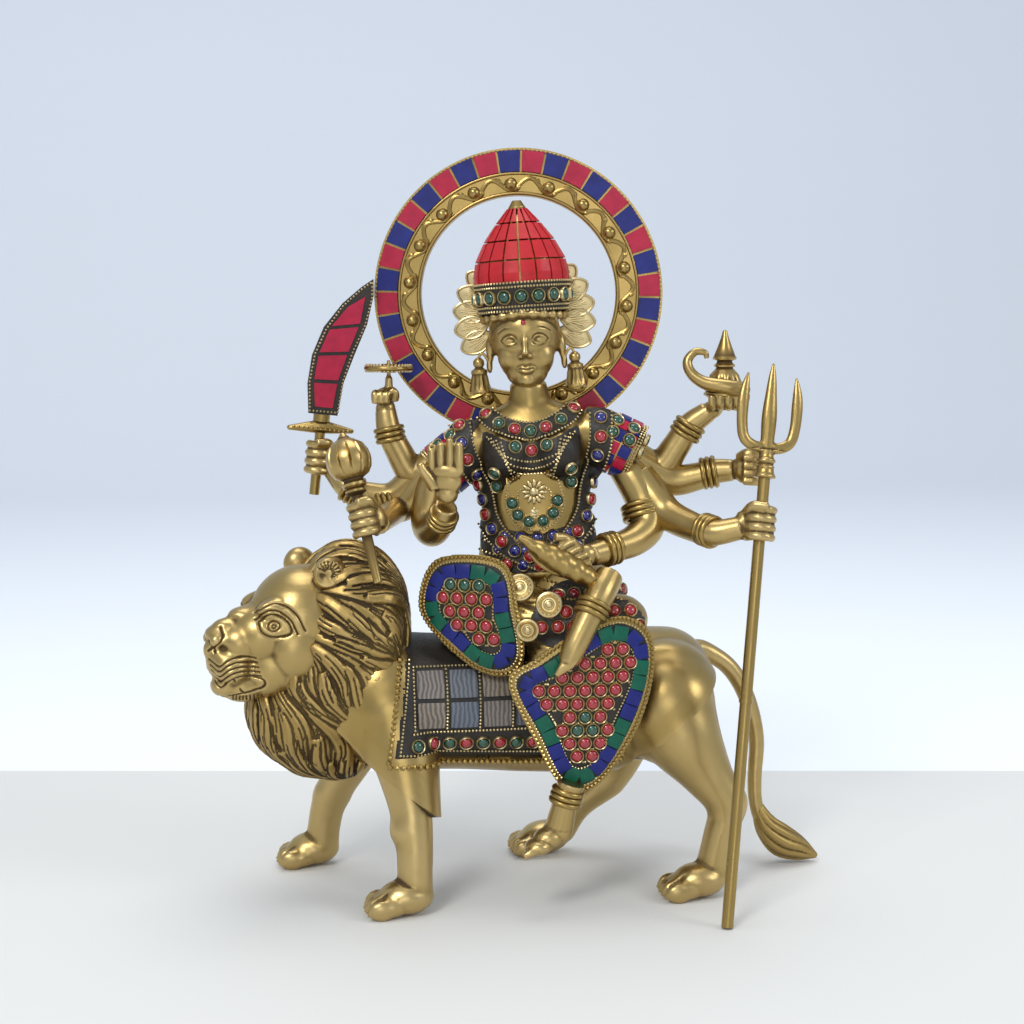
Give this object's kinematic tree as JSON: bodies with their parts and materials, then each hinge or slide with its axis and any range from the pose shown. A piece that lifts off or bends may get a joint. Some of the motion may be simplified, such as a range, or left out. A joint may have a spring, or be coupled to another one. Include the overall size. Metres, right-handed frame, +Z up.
{
  "type": "hindu deity statue",
  "caption": "Cast brass figurine of a seated many-armed goddess on a walking lion, with a tiled halo, domed crown, stone inlay, and lift-out trident, mace, curved sword and spinning disc.",
  "frame": {"origin": "centre of the bounding box's footprint, on the surface the paws stand on", "axes": "+X towards the lion's tail, +Y away from the side the goddess faces, +Z up"},
  "size_m": [0.3471, 0.1593, 0.4059],
  "materials": {
    "brass_satin": "satin cast brass, hand finished",
    "brass_pale": "satin buffed brass",
    "brass_antique": "antiqued brass with dark recesses",
    "tile_red": "polished inlay",
    "tile_coral": "polished inlay",
    "tile_blue": "polished inlay",
    "tile_green": "polished inlay",
    "stone_red": "glossy domed cabochon",
    "stone_blue": "glossy domed cabochon",
    "stone_green": "glossy domed cabochon",
    "slab_grey": "cut banded stone, satin"
  },
  "bodies": {
    "lion": {"lion_body": "brass_pale", "lion_mane": "brass_antique", "lion_head": "brass_pale", "foreleg_near": "brass_pale", "foreleg_far": "brass_pale", "hindleg_near": "brass_pale", "hindleg_far": "brass_pale", "lion_tail": "brass_satin", "tail_tuft": "brass_antique", "saddle_cloth": "brass_antique", "saddle_border": "brass_satin", "saddle_slabs": "slab_grey", "saddle_bezels": "brass_pale", "saddle_stones": "stone_green"},
    "figure": {"skirt": "brass_satin", "panel_hanging": "brass_satin", "panel_folded": "brass_satin", "skirt_tiles_blue": "tile_blue", "skirt_tiles_green": "tile_green", "skirt_stones_red": "stone_red", "skirt_stones_green": "stone_green", "lap_rosettes": "brass_satin", "hanging_foot": "brass_satin", "folded_foot": "brass_satin", "torso": "brass_satin", "stole": "brass_antique", "stole_stones_red": "stone_red", "stole_stones_blue": "stone_blue", "stones_green": "stone_green", "pendant": "brass_satin", "sleeve_tiles": "tile_red", "goddess_head": "brass_satin", "petal_aureole": "brass_satin", "earrings": "brass_satin", "crown_core": "brass_satin", "crown_tiles": "tile_coral", "crown_band": "brass_antique", "crown_stones": "stone_green", "arm_palm": "brass_satin", "arm_mace": "brass_satin", "arm_sword": "brass_satin", "arm_disc": "brass_satin", "arm_conch": "brass_satin", "arm_trident": "brass_satin", "arm_middle": "brass_satin", "arm_vessel": "brass_satin", "bangles": "brass_satin", "conch": "brass_satin", "vessel": "brass_satin", "halo_ring": "brass_satin", "halo_tiles_red": "tile_red", "halo_tiles_blue": "tile_blue", "halo_screws": "brass_antique"},
    "sword": {"sword_hilt": "brass_satin", "sword_blade": "brass_antique", "sword_tiles": "tile_red"},
    "mace": {"mace": "brass_satin"},
    "trident": {"trident_head": "brass_satin", "trident_shaft": "brass_satin"},
    "disc": {"disc": "brass_satin"}
  },
  "joints": [
    {"name": "figure_lift", "type": "slide", "parent": "lion", "child": "figure", "axis": [0, 0, 1], "range_m": [0, 0.09]},
    {"name": "trident_lift", "type": "slide", "parent": "figure", "child": "trident", "axis": [0.1229, 0.1634, 0.9789], "range_m": [0, 0.2]},
    {"name": "mace_lift", "type": "slide", "parent": "figure", "child": "mace", "axis": [-0.2007, 0.2559, 0.9456], "range_m": [0, 0.06]},
    {"name": "sword_lift", "type": "slide", "parent": "figure", "child": "sword", "axis": [0.1058, -0.0211, 0.9942], "range_m": [0, 0.06]},
    {"name": "disc_spin", "type": "hinge", "parent": "figure", "child": "disc", "pos_m": [-0.07325, 0.04284, 0.2854], "axis": [0, 0, 1], "continuous": true}
  ]
}
